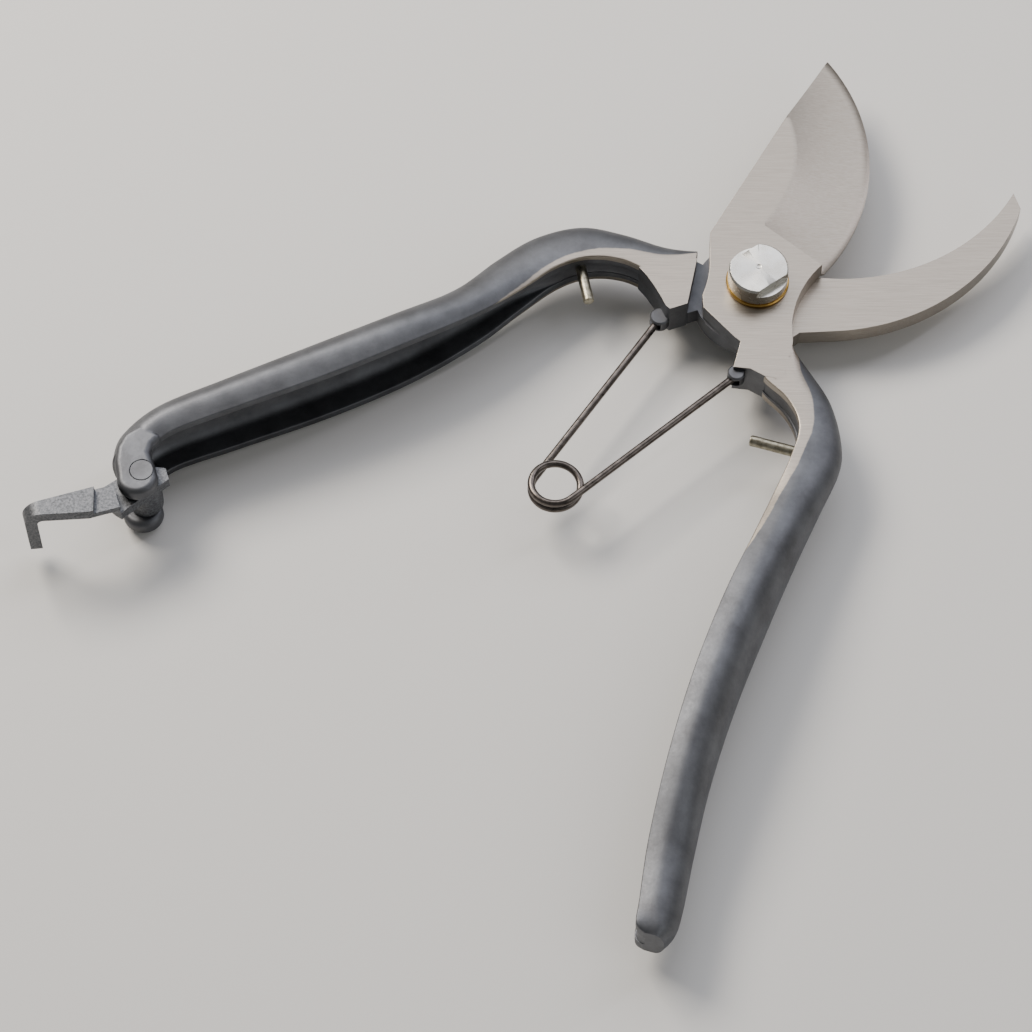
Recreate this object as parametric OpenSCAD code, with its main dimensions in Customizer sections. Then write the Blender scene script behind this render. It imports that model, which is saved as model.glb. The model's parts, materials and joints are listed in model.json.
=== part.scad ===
// Bypass secateurs: two forged arms, one return spring and a swinging closing catch.
// The origin is on the pivot axis, on the plane that the tool lies on. +Z points out of
// the bolt-head side, and the arms are drawn wide open.

/* [Pivot] */
// Height of the sliding face between the two blades above the resting plane
mid_z = 9; // [8.5:0.1:9.5]
// Thickness of the cutting blade and of the counter blade
blade_t = 4; // [3.6:0.1:4]
// Diameter of the pivot bolt's shank
bolt_d = 8; // [6:0.5:9]
// Diameter of the pivot bolt's head
head_d = 12; // [11:0.5:13]
// Width of the head between its two wrench flats
head_flats = 9; // [8:0.5:10]
// Diameter of the brass washer under the head
head_washer_d = 12.6; // [12:0.2:14]
// Width of the hexagon nut across its flats
nut_af = 13; // [11:0.5:14]
// Running clearance on the radius of a moving bore
bore_gap = 0.05; // [0.02:0.01:0.08]

/* [Blades] */
// Width of the ground bevel, measured in from the cutting edge
bevel_w = 16; // [12:0.5:18]
// Thickness left along the cutting edge
edge_t = 0.5; // [0.3:0.1:1]

/* [Handles] */
// Wall thickness of the hollow handles
wall_t = 2.6; // [2:0.1:3]

/* [Spring] */
// Diameter of the spring wire
wire_d = 1.5; // [1.2:0.1:1.6]
// Mean diameter of the spring coil
coil_d = 9.6; // [8:0.2:11]
// Height of each wire leg above or below the sliding face
leg_lift = 1.45; // [1.3:0.05:1.5]

/* [Pins] */
// Diameter of the two guard pins
guard_d = 2.2; // [1.5:0.1:2.5]
// Depth of a guard pin in its arm
guard_sunk = 4.5; // [3:0.5:5]
// Diameter of the catch rivet's shank
rivet_d = 3.2; // [2.5:0.1:3.4]

/* [Catch] */
// Distance from the catch rivet to the inside of the hooked lip
lip_reach = 21.8; // [21.6:0.1:22.2]
// Distance of the raised bar's middle line from the catch rivet
bar_offset = 3.4; // [3.2:0.1:3.6]
// Width of the raised bar
bar_w = 5.2; // [4.6:0.1:5.2]

/* [Hidden] */
$fn = 72;
eps = 0.01;
steel = "silver";
forged = "dimgray";
top_z = mid_z + blade_t;
slide_gap = 0.05;
head_washer_t = 0.7;
back_washer_t = 0.8;
head_flange_t = 2.6;
head_top_t = 2.2;
flats_turn = 36;
hub_r = 12.6;
root_r = 13.2;
hub_low_z = mid_z - blade_t + slide_gap;
nut_t = hub_low_z - slide_gap - back_washer_t;

// Three points of the cutting edge, and the corners of the ground face
blade_tip = [16.8, 57.4];
blade_belly = [24.3, 34.0];
blade_heel = [13.8, 4.2];
edge_centre = centre_of(blade_tip, blade_belly, blade_heel);
edge_r = norm(blade_tip - edge_centre);
ground_face = [[2, 13.7], [13.2, 4.0], [30, -4], [40, 60], [17, 72], [2, 46]];

// Catch rivet, spring and pin places at the open position
catch_at = [-120.4, -46.2];
catch_turn = 197;
ear_at = [-121.2, -47.4];
ear_r = 4;
ear_z = 4.6;
ear_top = 8.2;
bar_z = 5.4;
plate_z = 1.9;
hub_half = 4.4;
catch_hub_r = 3.3;
tail = 4.8;
step_r = 8.4;
lip_t = 2.3;
lip_z = -5;
bend_r = 1.2;
ledge_z = 6.8;
ledge_reach = 9.6;
lip_w = 2.6;
peen_h = 0.8;
seat_blade = 21.2 * [cos(257), sin(257)];
seat_counter = 20.2 * [cos(195.5), sin(195.5)];
coil_at = [-40.5, -44.9];
lug_h = 2.9;
lug_split = 0.1;
lug_blade_r = 1.75;
lug_counter_r = 2;
lug_room_r = 2.4;
closed_turn = 54;
seat_play = 0.1;
open_seat_play = 0.45;
guard_blade_tip = [-2.4, -34.6];
guard_blade_turn = -17;
guard_counter_tip = [-33.6, -2.2];
guard_counter_turn = 101;
guard_len = 7.3 + guard_sunk;

// Handle stations: inner rim, back, half width, flat share of the side, hollow depth
blade_handle = [
    [[-1.0, -17.5], [7.0, -15.0], 4.0, 0.80, 0],
    [[0.6, -22.3], [10.6, -20.5], 4.0, 0.55, 0],
    [[5.0, -27.5], [13.8, -26.7], 4.2, 0.35, 0],
    [[7.0, -33.5], [15.4, -34.5], 4.3, 0.25, 0],
    [[5.2, -40.5], [15.0, -41.5], 4.6, 0.30, 0.5],
    [[1.8, -48.5], [10.8, -51.0], 5.6, 0.35, 4.5],
    [[-2.8, -59.0], [6.0, -61.5], 7.0, 0.38, 6.0],
    [[-8.8, -72.5], [0.2, -75.2], 8.3, 0.40, 6.6],
    [[-15.2, -89.5], [-6.6, -92.5], 8.6, 0.40, 6.4],
    [[-20.3, -106.5], [-11.9, -109.0], 7.4, 0.40, 6.0],
    [[-24.0, -122.0], [-15.4, -123.6], 5.1, 0.40, 5.6],
    [[-25.9, -134.0], [-17.8, -135.0], 4.8, 0.40, 4.8],
    [[-26.6, -139.0], [-19.3, -139.6], 4.6, 0.50, 0],
    [[-25.2, -140.8], [-21.4, -141.9], 4.0, 0.50, 0],
];
counter_handle = [
    [[-12.9, 2.0], [-11.6, 8.5], 4.0, 0.75, 0],
    [[-18.6, 1.2], [-18.4, 10.3], 4.0, 0.50, 0],
    [[-26.5, 5.2], [-26.6, 13.5], 4.1, 0.28, 0],
    [[-33.6, 5.9], [-35.2, 15.3], 4.3, 0.22, 0],
    [[-40.2, 3.4], [-44.5, 12.6], 4.6, 0.25, 0.5],
    [[-47.3, -2.2], [-52.5, 6.8], 5.4, 0.28, 4.0],
    [[-56.0, -8.8], [-61.0, -0.9], 7.0, 0.30, 6.2],
    [[-69.0, -16.5], [-72.9, -7.2], 8.7, 0.36, 7.2],
    [[-85.0, -24.4], [-88.5, -14.6], 9.0, 0.40, 7.4],
    [[-103.0, -31.9], [-106.0, -22.8], 8.8, 0.40, 6.8],
    [[-115.0, -37.0], [-118.6, -28.9], 8.4, 0.40, 6.2],
    [[-118.5, -40.5], [-125.6, -35.6], 8.2, 0.40, 5.8],
    [[-119.6, -43.0], [-127.0, -41.0], 8.2, 0.50, 4.6],
];
least_hollow = 0.4;
station_steps = 3;
arc_steps = 6;
wire_sides = 10;
coil_half_turn = 261;
coil_steps = 18;
coil_clearance = 0.1;

// ---- shared functions ----

// Smooth curve through the rows of a list, at t from 0 to 1
function through(p, t) =
    let (n = len(p) - 1, s = min(t * n, n - eps / 100), i = floor(s), u = s - i,
        a = p[max(i - 1, 0)], b = p[i], c = p[i + 1], d = p[min(i + 2, n)])
    (2 * b + (c - a) * u + (2 * a - 5 * b + 4 * c - d) * u * u
        + (3 * b - a - 3 * c + d) * u * u * u) / 2;

function column(rows, k) = [for (row = rows) row[k]];

// Centre of the circle through three points
function centre_of(a, b, c) =
    let (d = 2 * (a.x * (b.y - c.y) + b.x * (c.y - a.y) + c.x * (a.y - b.y)),
        aa = a * a, bb = b * b, cc = c * c)
    [(aa * (b.y - c.y) + bb * (c.y - a.y) + cc * (a.y - b.y)) / d,
        (aa * (c.x - b.x) + bb * (a.x - c.x) + cc * (b.x - a.x)) / d];

function bearing(v) = atan2(v.y, v.x);
function turn_to(from, to) = (to - from) - 360 * round((to - from) / 360);

// Points of the arc from a to c that passes b
function arc3(a, b, c, n = 12) =
    let (m = centre_of(a, b, c), r = norm(a - m), s = bearing(a - m),
        half = turn_to(s, bearing(b - m)),
        whole = half + turn_to(bearing(b - m), bearing(c - m)))
    [for (i = [0:n]) m + r * [cos(s + whole * i / n), sin(s + whole * i / n)]];

// Points of an arc about the pivot
function pivot_arc(r, from, to, n = 10) =
    [for (i = [0:n]) let (a = from + (to - from) * i / n) r * [cos(a), sin(a)]];

// One side of a U section: a straight flank, then a quarter of an ellipse to its bottom
function flank(depth, half, flat) =
    concat([[0, half]], [for (i = [0:arc_steps]) let (a = 90 * i / arc_steps)
        [depth * flat + depth * (1 - flat) * sin(a), half * cos(a)]]);

function mirrored(p) = [for (i = [len(p) - 2:-1:0]) [p[i].x, -p[i].y]];

function whole_flank(depth, half, flat) =
    let (p = flank(depth, half, flat)) concat(p, mirrored(p));

function reversed(p) = [for (i = [len(p) - 1:-1:0]) p[i]];

// The closed U section at a station, as points in space
function section_at(rows, t) =
    let (rim = through(column(rows, 0), t), back = through(column(rows, 1), t),
        half = through(column(rows, 2), t), flat = through(column(rows, 3), t),
        hollow = max(through(column(rows, 4), t), least_hollow),
        depth = norm(back - rim), dir = (back - rim) / depth,
        flat_section = concat(whole_flank(depth, half, flat),
            reversed(whole_flank(hollow, half - wall_t, 0.5))))
    [for (q = flat_section) [rim.x + dir.x * q.x, rim.y + dir.y * q.x, mid_z + q.y]];

// ---- shared shapes ----

module handle(rows) {
    rings = (len(rows) - 1) * station_steps;
    points = [for (i = [0:rings]) each section_at(rows, i / rings)];
    n = len(section_at(rows, 0));
    sides = [for (i = [0:rings - 1], k = [0:n - 1])
        let (a = i * n + k, b = i * n + (k + 1) % n)
        each [[a, b, b + n], [a, b + n, a + n]]];
    // Each end is a strip of triangles between the outer and the inner line of the U
    cap = [for (k = [0:n / 2 - 2]) each [[k, k + 1, n - 1 - k], [k + 1, n - 2 - k, n - 1 - k]]];
    first = [for (f = cap) reversed(f)];
    last = [for (f = cap) [for (k = f) rings * n + k]];
    faces = concat(sides, first, last);
    across = rows[0][1] - rows[0][0];
    along = rows[1][0] - rows[0][0];
    inside_out = cross(across, along) > 0;
    polyhedron(points, inside_out ? [for (f = faces) reversed(f)] : faces);
}

module slab(points, low, high) {
    translate([0, 0, low]) linear_extrude(high - low) polygon(points);
}

module drill(at, d, low = -1, high = 30) {
    translate([at.x, at.y, low]) cylinder(d = d, h = high - low);
}

// A round bar in the plane of the sliding face, from a point along a bearing
module flat_rod(at, turn, d, length) {
    translate([at.x, at.y, mid_z]) rotate([0, 0, turn]) rotate([0, 90, 0])
        cylinder(d = d, h = length);
}

// Half-height lug that a wire end sits in
module spring_lug(at, r, low) {
    translate([at.x, at.y, low]) cylinder(r = r, h = lug_h);
}

// Socket with a mouth that leaves the wire room to swing
module spring_socket(at, r, z, turn, swing) {
    mouth = 8;
    translate([at.x, at.y, z - wire_d / 2 - seat_play]) {
        cylinder(r = r, h = wire_d + 2 * seat_play);
        rotate([0, 0, turn]) linear_extrude(wire_d + 2 * seat_play)
            polygon([[0, -r], [0, r], [mouth, r + mouth * tan(swing)],
                [mouth, -r - mouth * tan(swing)]]);
    }
}

// Rings of a round wire along a level or slowly rising path, with the bearing at each point
module wire(path, bearings) {
    n = wire_sides;
    last_ring = len(path) - 1;
    points = [for (i = [0:last_ring], k = [0:n - 1])
        let (a = 360 * k / n, out = wire_d / 2 * cos(a))
        path[i] + [-sin(bearings[i]) * out, cos(bearings[i]) * out, wire_d / 2 * sin(a)]];
    sides = [for (i = [0:last_ring - 1], k = [0:n - 1])
        let (a = i * n + k, b = i * n + (k + 1) % n) each [[a, b + n, b], [a, a + n, b + n]]];
    polyhedron(points, concat(sides, [[for (k = [0:n - 1]) k],
        [for (k = [n - 1:-1:0]) last_ring * n + k]]));
}

// Half of the spring: a leg from its seat to the coil, then half of the coil's turns.
// hand is 1 for the upper half, which winds clockwise, and -1 for the lower half.
module spring_half(seat, hand) {
    gap = coil_at - seat;
    reach = norm(gap);
    turn = bearing(gap) + hand * asin(coil_d / 2 / reach);
    lean = turn + hand * 90;
    fall = leg_lift - wire_d / 2 - coil_clearance;
    coil = [for (i = [0:coil_steps]) let (a = lean - hand * coil_half_turn * i / coil_steps,
        z = leg_lift - fall * i / coil_steps)
        [coil_at.x + coil_d / 2 * cos(a), coil_at.y + coil_d / 2 * sin(a), mid_z + hand * z]];
    bearings = [for (i = [0:coil_steps]) turn - hand * coil_half_turn * i / coil_steps];
    start = [seat.x, seat.y, mid_z + hand * leg_lift];
    wire(concat([start], coil), concat([turn], bearings));
}

// ---- the two arms ----

function blade_outline() = concat(
    arc3(blade_tip, blade_belly, blade_heel, 24),
    arc3([13.0, 4.0], [8.6, -2.4], [6.6, -9.6], 6),
    [[6.6, -14.1], [7.4, -18.2], [1.0, -20.0], [-5.1, -19.1]],
    [[-3.8, -14.1], [-5.0, -13.0]],
    [[-10.9, -6.0], [-11.0, -3.0], [-9.8, 1.0], [-9.3, 6.3], [-9.1, 12.0]]);

module bevel_cut() {
    intersection() {
        translate([edge_centre.x, edge_centre.y, 0]) rotate_extrude($fn = 180)
            polygon([[edge_r - bevel_w, top_z], [edge_r + 1, mid_z + edge_t * 0.8],
                [edge_r + 1, top_z + 1], [edge_r - bevel_w, top_z + 1]]);
        slab(ground_face, mid_z, top_z + 2);
    }
}

module blade_root() {
    slab(concat(pivot_arc(root_r, 256, 297),
        [[6.7, -14.1], [7.2, -17.0], [5.0, -24.0], [0.8, -22.3], [-2.1, -20.5], [-5.4, -20.1],
            [-5.1, -19.1]]), mid_z - blade_t, top_z);
}

module blade_arm() {
    color(steel) difference() {
        union() {
            slab(blade_outline(), mid_z, top_z);
            blade_root();
            handle(blade_handle);
            spring_lug(seat_blade, lug_blade_r, mid_z + lug_split);
        }
        bevel_cut();
        drill([0, 0], bolt_d + 2 * bore_gap);
        // Room for the other arm's spring lug when the handles are closed
        rotate([0, 0, closed_turn])
            drill(seat_counter, 2 * lug_room_r, mid_z - blade_t - 1, mid_z);
        spring_socket(seat_blade, wire_d / 2 + seat_play, mid_z + leg_lift, 240, 25);
        flat_rod(guard_blade_tip, guard_blade_turn, guard_d, guard_len);
    }
}

function hook_outline() = concat(
    arc3([12.0, 3.8], [33.2, 6.6], [53.4, 24.4], 20),
    arc3([54.6, 20.6], [42.2, 1.9], [16.9, -9.0], 20),
    [[6, -9.6], [0, 0]]);

module counter_root() {
    slab([[-11.9, 5.7], [-14.1, -5.13], [-17.6, -6.4], [-18.4, -5.6], [-19.4, -3.3],
        [-20.6, -0.9], [-22.0, 1.5], [-23.6, 3.6], [-18.6, 5.5], [-14, 6.0]],
        mid_z - blade_t, top_z);
    slab(concat([[0, 0]], pivot_arc(15.2, 147, 199)), hub_low_z, mid_z - slide_gap);
}

module catch_ears() {
    outline = [[-125.2, -47.4], [-117.2, -47.4], [-118.0, -44.6], [-118.9, -42.0], [-118.4, -40.2],
        [-116.2, -38.0], [-125.4, -38.4], [-126.0, -42.5]];
    for (low = [mid_z + ear_z, mid_z - ear_top]) {
        slab(outline, low, low + ear_top - ear_z);
        drill(ear_at, 2 * ear_r, low, low + ear_top - ear_z);
    }
}

// The catch rivet: both ends are peened into countersinks, flush with the ears
module peened_pin() {
    translate([catch_at.x, catch_at.y, mid_z]) {
        cylinder(d = rivet_d, h = 2 * ear_top, center = true);
        for (side = [0, 1]) mirror([0, 0, side]) translate([0, 0, ear_top - peen_h])
            cylinder(d1 = rivet_d, d2 = rivet_d + 2 * peen_h, h = peen_h);
    }
}

module counter_arm() {
    color(steel) difference() {
        union() {
            drill([0, 0], 2 * hub_r, hub_low_z, mid_z - slide_gap);
            slab(hook_outline(), hub_low_z, mid_z - slide_gap);
            counter_root();
            handle(counter_handle);
            catch_ears();
            spring_lug(seat_counter, lug_counter_r, mid_z - lug_split - lug_h);
        }
        drill([0, 0], bolt_d + 2 * bore_gap);
        peened_pin();
        spring_socket(seat_counter, wire_d / 2 + open_seat_play, mid_z - leg_lift, 216, 25);
        flat_rod(guard_counter_tip, guard_counter_turn, guard_d, guard_len);
    }
}

// ---- pivot hardware ----

module pivot_bolt() {
    head_z = top_z + head_washer_t;
    color("gainsboro") {
        drill([0, 0], bolt_d, 0.3, head_z);
        drill([0, 0], head_d, head_z, head_z + head_flange_t);
        intersection() {
            drill([0, 0], head_d, head_z, head_z + head_flange_t + head_top_t);
            rotate([0, 0, flats_turn]) translate([-head_d, -head_flats / 2, head_z])
                cube([2 * head_d, head_flats, head_flange_t + head_top_t]);
        }
    }
}

module ring(d, bore, low, high) {
    difference() {
        drill([0, 0], d, low, high);
        drill([0, 0], bore);
    }
}

module head_washer() {
    color("goldenrod") ring(head_washer_d, bolt_d + 2 * bore_gap, top_z, top_z + head_washer_t);
}

module back_washer() {
    color(steel) ring(nut_af, bolt_d + 2 * bore_gap, nut_t, nut_t + back_washer_t);
}

module pivot_nut() {
    color(steel) difference() {
        rotate([0, 0, 30]) cylinder(d = nut_af / cos(30), h = nut_t, $fn = 6);
        drill([0, 0], bolt_d);
    }
}

// ---- spring, pins and catch ----

module spring_leg_blade() {
    color("lightsteelblue") spring_half(seat_blade, 1);
}

module spring_leg_counter() {
    color("lightsteelblue") spring_half(seat_counter, -1);
}

module guard_pin_blade() {
    color(steel) flat_rod(guard_blade_tip, guard_blade_turn, guard_d, guard_len);
}

module guard_pin_counter() {
    color(steel) flat_rod(guard_counter_tip, guard_counter_turn, guard_d, guard_len);
}

// Side of the raised bar and its hooked lip, bent with a round corner
function lip_profile(start, top) =
    let (inner = [lip_reach - bend_r, bar_z - bend_r], outer_r = bend_r + lip_t,
        outer = [lip_reach + lip_t - outer_r, top - outer_r])
    concat([[start, bar_z]],
        [for (a = [90:-15:0]) inner + bend_r * [cos(a), sin(a)]],
        [[lip_reach, lip_z], [lip_reach + lip_t, lip_z]],
        [for (a = [0:15:90]) outer + outer_r * [cos(a), sin(a)]],
        [[start, top]]);

module latch() {
    low = bar_offset - bar_w / 2;
    high = bar_offset + bar_w / 2;
    top = ear_top - 0.2;
    step_turn = asin(high / step_r);
    step_x = step_r * cos(step_turn);
    step_edge = pivot_arc(step_r, asin(low / step_r), step_turn);
    color(forged) translate([catch_at.x, catch_at.y, mid_z]) rotate([0, 0, catch_turn])
        difference() {
            union() {
                drill([0, 0], 2 * catch_hub_r, -hub_half, hub_half);
                slab(concat([[-tail, -1.3], [0, -catch_hub_r], [step_r - 0.1, -0.4]], step_edge,
                    [[0, catch_hub_r], [-tail, 1.3]]), plate_z, hub_half);
                slab(concat([[step_x, low]], step_edge), plate_z, top);
                translate([0, high, 0]) rotate([90, 0, 0]) linear_extrude(bar_w)
                    polygon(lip_profile(step_x, top));
            }
            drill([0, 0], rivet_d + 2 * bore_gap, -10, 10);
            // The bar's top stands above the ledge beside the ears, and the bar tapers outwards
            slab([[0, low - 1], [ledge_reach, low - 1], [ledge_reach, low],
                [ledge_reach + 1.4, high], [ledge_reach + 1.4, high + 1], [0, high + 1]],
                ledge_z, top + 1);
            slab([[ledge_reach + 1.4, high], [lip_reach, low + lip_w + 0.3],
                [lip_reach + lip_t + 1, low + lip_w - 0.3], [lip_reach + lip_t + 1, high + 1],
                [ledge_reach + 1.4, high + 1]], lip_z - 1, top + 1);
        }
}

module latch_rivet() {
    color(steel) peened_pin();
}

blade_arm();
counter_arm();
pivot_bolt();
head_washer();
back_washer();
pivot_nut();
spring_leg_blade();
spring_leg_counter();
guard_pin_blade();
guard_pin_counter();
latch();
latch_rivet();
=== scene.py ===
import json
from math import asin, atan2, cos, degrees, floor, hypot, pi, radians, sin

import bmesh
import bpy
from mathutils import Matrix, Vector
from mathutils.kdtree import KDTree


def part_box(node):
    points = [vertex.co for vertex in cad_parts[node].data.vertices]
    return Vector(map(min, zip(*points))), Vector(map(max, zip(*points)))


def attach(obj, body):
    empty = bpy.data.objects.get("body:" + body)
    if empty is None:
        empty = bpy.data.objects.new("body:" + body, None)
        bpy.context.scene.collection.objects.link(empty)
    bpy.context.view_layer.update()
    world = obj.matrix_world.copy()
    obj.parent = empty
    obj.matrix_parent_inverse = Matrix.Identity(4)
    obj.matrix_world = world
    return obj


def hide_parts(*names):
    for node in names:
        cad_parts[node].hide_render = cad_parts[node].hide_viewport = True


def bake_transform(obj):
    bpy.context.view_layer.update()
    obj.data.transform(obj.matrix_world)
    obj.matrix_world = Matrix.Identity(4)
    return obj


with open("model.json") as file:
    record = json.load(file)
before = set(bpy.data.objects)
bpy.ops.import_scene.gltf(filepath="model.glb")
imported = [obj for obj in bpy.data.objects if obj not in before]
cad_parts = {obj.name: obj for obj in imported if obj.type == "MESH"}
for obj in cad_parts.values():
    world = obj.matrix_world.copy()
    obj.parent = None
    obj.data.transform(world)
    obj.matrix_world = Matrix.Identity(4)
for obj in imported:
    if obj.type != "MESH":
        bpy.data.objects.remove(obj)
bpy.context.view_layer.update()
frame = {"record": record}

# ---------------------------------------------------------------- places, from the frame

MM = 0.001


def mm(value):
    return value * MM


def node_box(name):
    """A CAD node's lowest and highest corners, in millimetres."""
    low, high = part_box(name)
    return Vector(low) / MM, Vector(high) / MM


joints = {joint["name"]: joint for joint in frame["record"]["behaviour"]["joints"]}


def joint_at(name):
    return Vector(joints[name]["pos_m"]) / MM


washer_low, washer_high = node_box("head_washer")
bolt_low, bolt_high = node_box("pivot_bolt")
back_low, back_high = node_box("back_washer")
nut_low, nut_high = node_box("pivot_nut")
rivet_low, rivet_high = node_box("latch_rivet")

TOP = washer_low.z                 # face of the blade plate under the brass washer
BLADE_T = 4.0                      # thickness of both blades
MID = TOP - BLADE_T                # sliding face between the blades
UNDER = back_high.z + 0.05         # underside of the counter arm's hub
SLIDE = 0.05                       # running gap at the sliding face
HEAD_R = (bolt_high.x - bolt_low.x) / 2
SHANK_R = 4.0                      # the bolt's shank, and the bores round it
SEAT = joint_at("spring_seat")
COIL = joint_at("spring_coil")
CATCH = joint_at("latch_swing")
EAR_TOP = 8.2                      # outer face of the catch ears, from the sliding face
EAR_IN = 4.6                       # inner face of the catch ears
EAR_AT = Vector((-121.2, -47.4))   # middle of the ears' round ends
EAR_R = 4.0

# Handle stations from the root outwards: the rim's x and y, the back's x and y, half the width,
# the flat share of the side, the hollow's depth, and the width of the strip that the grinding
# wheel has left bright along the rim, negative where there's none
BLADE_HANDLE = [
    (-1.0, -17.5, 6.9, -15.0, 4.0, 0.92, 0, 9.0),
    (0.6, -22.3, 10.6, -20.5, 4.0, 0.55, 0, 7.6),
    (5.0, -27.5, 13.8, -26.7, 4.2, 0.35, 0, 4.8),
    (7.0, -33.5, 15.4, -34.5, 4.3, 0.25, 0, 2.7),
    (5.2, -40.5, 15.0, -41.5, 4.6, 0.30, 0.5, 2.1),
    (1.8, -48.5, 10.8, -51.0, 5.6, 0.35, 4.5, 1.5),
    (-2.8, -59.0, 6.0, -61.5, 7.0, 0.38, 6.0, 0.8),
    (-8.8, -72.5, 0.2, -75.2, 8.3, 0.40, 6.6, -1.5),
    (-15.2, -89.5, -6.6, -92.5, 8.6, 0.40, 6.4, -3),
    (-20.3, -106.5, -11.9, -109.0, 7.4, 0.40, 6.0, -3),
    (-24.0, -122.0, -15.4, -123.6, 5.1, 0.40, 5.6, -3),
    (-25.9, -134.0, -17.8, -135.0, 4.8, 0.40, 4.8, -3),
    (-26.6, -139.0, -19.3, -139.6, 4.6, 0.50, 0, -3),
    (-25.2, -140.8, -21.4, -141.9, 4.0, 0.50, 0, -3),
]
COUNTER_HANDLE = [
    (-12.9, 2.0, -11.6, 8.5, 4.0, 0.75, 0, 5.2),
    (-18.6, 1.2, -18.4, 10.3, 4.0, 0.50, 0, 5.4),
    (-26.5, 5.2, -26.6, 13.5, 4.1, 0.28, 0, 2.8),
    (-33.6, 5.9, -35.2, 15.3, 4.3, 0.22, 0, 1.7),
    (-40.2, 3.4, -44.5, 12.6, 4.6, 0.25, 0.5, 1.2),
    (-47.3, -2.2, -52.5, 6.8, 5.4, 0.28, 4.0, 0.7),
    (-56.0, -8.8, -61.0, -0.9, 7.0, 0.30, 6.2, -0.6),
    (-69.0, -16.5, -72.9, -7.2, 8.7, 0.36, 7.2, -3),
    (-85.0, -24.4, -88.5, -14.6, 9.0, 0.40, 7.4, -3),
    (-103.0, -31.9, -106.0, -22.8, 8.8, 0.40, 6.8, -3),
    (-115.0, -37.0, -118.6, -28.9, 8.4, 0.40, 6.2, -3),
    (-118.5, -40.5, -125.6, -35.6, 8.2, 0.40, 5.8, -3),
    (-119.6, -43.0, -127.0, -41.0, 8.2, 0.50, 4.6, -3),
]
WALL = 2.6                         # wall of the hollow handles
LEAST_HOLLOW = 0.4                 # hollow kept where a handle is as good as solid
RIM_R = 0.3                        # broken edge of the handles' rims
CROWN = 0.8                        # fall of a hollow handle's side from its ridge to its rim
RINGS_PER_STATION = 8
ARC_STEPS = 14
DARK = -3.0                        # mark of a face left dark: fire scale where the grinding wheel never touched, and painted shade on ground faces that lie in shadow
BRIGHT = 3.0                       # mark of a face that is ground all over

BLADE_TIP = Vector((16.8, 57.4))
BLADE_BELLY = Vector((24.3, 34.0))
BLADE_HEEL = Vector((13.8, 4.2))
BEVEL_W = 16.0                     # width of the hollow-ground bevel
EDGE_T = 0.5                       # steel left at the cutting edge
HOLLOW = 0.35                      # how deep the bevel is hollowed below a straight line
HONED_W = 0.9                      # width of the small honed bevel along the edge
HONED_DROP = 0.45                  # height of that small bevel

# Where the wheel has been, from above: its straight inner corners show on the blade
GROUND_FACE = [(2, 13.7), (13.2, 4.0), (30, -4), (40, 60), (17, 72), (2, 46)]

WIRE_R = 0.75
COIL_R = 4.8
LEG_LIFT = 1.45                    # height of each wire leg from the sliding face
COIL_TURN = 522                    # degrees of wire between the two legs
COUNTER_SEAT = Vector((-19.465, -5.398))  # the lower wire end's seat on the counter arm

# ---------------------------------------------------------------- outlines


def centre_of(a, b, c):
    """Centre of the circle through three points."""
    d = 2 * (a.x * (b.y - c.y) + b.x * (c.y - a.y) + c.x * (a.y - b.y))
    aa, bb, cc = a.dot(a), b.dot(b), c.dot(c)
    return Vector(((aa * (b.y - c.y) + bb * (c.y - a.y) + cc * (a.y - b.y)) / d,
                   (aa * (c.x - b.x) + bb * (a.x - c.x) + cc * (b.x - a.x)) / d))


def bearing(v):
    return atan2(v.y, v.x)


def turn_to(start, end):
    """The shorter way round from one bearing to another, in radians."""
    return (end - start + pi) % (2 * pi) - pi


def arc(a, b, c, steps):
    """Points of the arc from a to c that passes b."""
    a, b, c = Vector(a), Vector(b), Vector(c)
    m = centre_of(a, b, c)
    start = bearing(a - m)
    whole = turn_to(start, bearing(b - m)) + turn_to(bearing(b - m), bearing(c - m))
    r = (a - m).length
    return [m + r * Vector((cos(start + whole * i / steps), sin(start + whole * i / steps)))
            for i in range(steps + 1)]


def pivot_arc(r, start, end, steps=12):
    """Points of an arc about the origin, between two bearings in degrees."""
    turns = [radians(start + (end - start) * i / steps) for i in range(steps + 1)]
    return [Vector((r * cos(a), r * sin(a))) for a in turns]


def blade_outline():
    waist = arc((13.0, 4.0), (8.6, -2.4), (6.6, -9.6), 10)
    foot = [(6.6, -14.1), (6.0, -17.5), (1.0, -20.0), (-5.1, -19.1)]
    notch = [(-3.8, -14.1), (-5.0, -13.0), (-10.9, -6.0)]
    back = arc((-11.0, -3.0), (-9.7, 1.6), (-9.3, 6.3), 6)
    return (arc(BLADE_TIP, BLADE_BELLY, BLADE_HEEL, 60) + waist
            + [Vector(p) for p in foot + notch] + back + [Vector((-9.1, 12.0))])


def blade_root_outline():
    rest = [(6.5, -14.1), (5.8, -17.0), (4.4, -23.0), (0.8, -22.3), (-2.1, -20.5),
            (-5.4, -20.1), (-5.1, -19.1)]
    return pivot_arc(13.2, 256, 297) + [Vector(p) for p in rest]


def hook_outline():
    return (arc((12.0, 3.8), (33.2, 6.6), (53.4, 24.4), 40)
            + arc((54.6, 20.6), (42.2, 1.9), (16.9, -9.0), 40)
            + [Vector((6, -9.6)), Vector((0, 0))])


def counter_root_outline():
    return [Vector(p) for p in [(-11.9, 5.7), (-14.1, -5.13), (-17.6, -6.4),
                                (-18.4, -5.6), (-19.4, -3.3), (-20.6, -0.9), (-22.0, 1.5),
                                (-23.6, 3.6), (-18.6, 5.5), (-14, 6.0)]]


# ---------------------------------------------------------------- mesh work


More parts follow.
